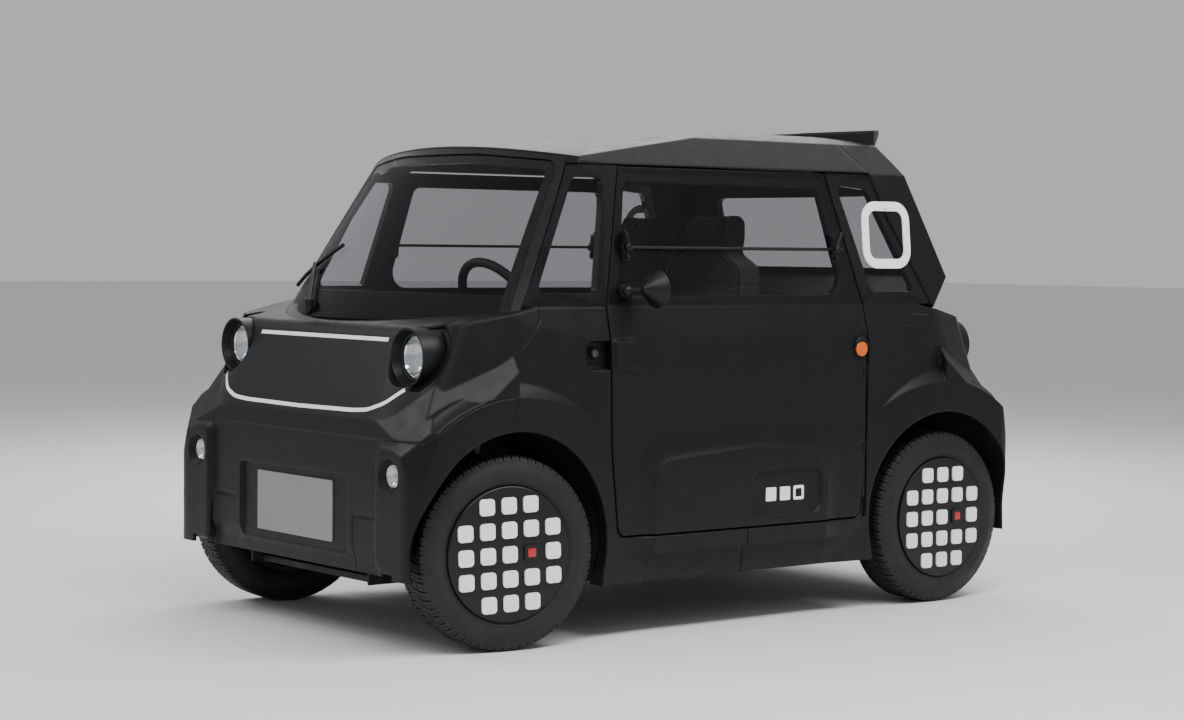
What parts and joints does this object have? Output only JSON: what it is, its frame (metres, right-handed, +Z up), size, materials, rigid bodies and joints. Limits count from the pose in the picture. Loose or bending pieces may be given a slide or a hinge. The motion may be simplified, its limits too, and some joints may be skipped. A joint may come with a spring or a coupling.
{
  "type": "electric microcar",
  "caption": "Two-seat electric microcar with identical front and rear body panels, opposed-hinge doors, steered front wheels and a hollow cabin.",
  "frame": {"origin": "on the ground at mid-wheelbase, in the middle of the car's width", "axes": "+X forward, +Y to the car's left, +Z up"},
  "size_m": [2.41, 1.568, 1.5477],
  "materials": {
    "body": "satin",
    "trim": "matte",
    "gloss_trim": "gloss",
    "glass": "clear",
    "clear_lens": "clear",
    "amber_lens": "gloss",
    "red_lens": "gloss",
    "plate": "matte",
    "lining": "matte",
    "seat_cover": "matte",
    "steel": "satin",
    "housing": "satin",
    "tyre": "matte",
    "wheel": "satin"
  },
  "bodies": {
    "car": {"front_panel": "body", "rear_panel": "body", "front_bumper": "body", "rear_bumper": "body", "side_panels_front": "body", "side_panels_rear": "body", "windscreen_frame": "gloss_trim", "window_frames": "gloss_trim", "rear_pillars": "body", "roof": "body", "spoiler": "body", "fixed_glass": "glass", "wiper": "trim", "lamp_bezels": "gloss_trim", "head_lamp_lenses": "clear_lens", "tail_lamp_lenses": "red_lens", "bumper_lamps": "clear_lens", "number_plates": "plate", "floor_tub": "lining", "dashboard": "lining", "steering_column": "trim", "seat_pads": "seat_cover", "seat_pedestals": "lining", "battery": "housing", "drive_motor": "housing", "drive_shafts": "steel", "front_suspension": "steel", "rear_suspension": "steel"},
    "left_door": {"door_left_panel": "body", "door_left_glass": "glass", "door_left_lamp": "amber_lens", "door_left_fittings": "trim"},
    "left_knuckle": {"knuckle_left": "steel"},
    "right_door": {"door_right_panel": "body", "door_right_glass": "glass", "door_right_lamp": "amber_lens", "door_right_fittings": "trim"},
    "right_knuckle": {"knuckle_right": "steel"},
    "front_left_wheel": {"tyre_front_left": "tyre", "wheel_front_left": "wheel"},
    "front_right_wheel": {"tyre_front_right": "tyre", "wheel_front_right": "wheel"},
    "rear_left_wheel": {"tyre_rear_left": "tyre", "wheel_rear_left": "wheel"},
    "rear_right_wheel": {"tyre_rear_right": "tyre", "wheel_rear_right": "wheel"},
    "hand_wheel": {"steering_wheel": "trim"}
  },
  "joints": [
    {"name": "left_door_hinge", "type": "hinge", "parent": "car", "child": "left_door", "pos_m": [-0.508, 0.668, 0.675], "axis": [0, 0, 1], "range_deg": [0, 78]},
    {"name": "right_door_hinge", "type": "hinge", "parent": "car", "child": "right_door", "pos_m": [0.508, -0.668, 0.675], "axis": [0, 0, 1], "range_deg": [0, 78]},
    {"name": "left_steer", "type": "hinge", "parent": "car", "child": "left_knuckle", "pos_m": [0.864, 0.572, 0.158], "axis": [0, -0.2192, 0.9757], "range_deg": [-21, 39]},
    {"name": "right_steer", "type": "hinge", "parent": "car", "child": "right_knuckle", "pos_m": [0.864, -0.572, 0.158], "axis": [0, 0.2192, 0.9757], "range_deg": [-21, 39]},
    {"name": "hand_wheel_turn", "type": "hinge", "parent": "car", "child": "hand_wheel", "pos_m": [0.622, 0.27, 0.952], "axis": [-0.866, 0, 0.5], "range_deg": [-256, 472]},
    {"name": "front_left_spin", "type": "hinge", "parent": "left_knuckle", "child": "front_left_wheel", "pos_m": [0.87185, 0.59691, 0.27837], "axis": [0.1493, 0.9888, -0.0025], "continuous": true},
    {"name": "front_right_spin", "type": "hinge", "parent": "right_knuckle", "child": "front_right_wheel", "pos_m": [0.85615, -0.59691, 0.27837], "axis": [0.1493, 0.9888, 0.0025], "continuous": true},
    {"name": "rear_left_spin", "type": "hinge", "parent": "car", "child": "rear_left_wheel", "pos_m": [-0.864, 0.5975, 0.2785], "axis": [0, 1, 0], "continuous": true},
    {"name": "rear_right_spin", "type": "hinge", "parent": "car", "child": "rear_right_wheel", "pos_m": [-0.864, -0.5975, 0.2785], "axis": [0, 1, 0], "continuous": true}
  ],
  "couplings": [
    {"joint": "right_steer", "follows": "left_steer", "ratio": 1},
    {"joint": "hand_wheel_turn", "follows": "left_steer", "ratio": 12}
  ]
}
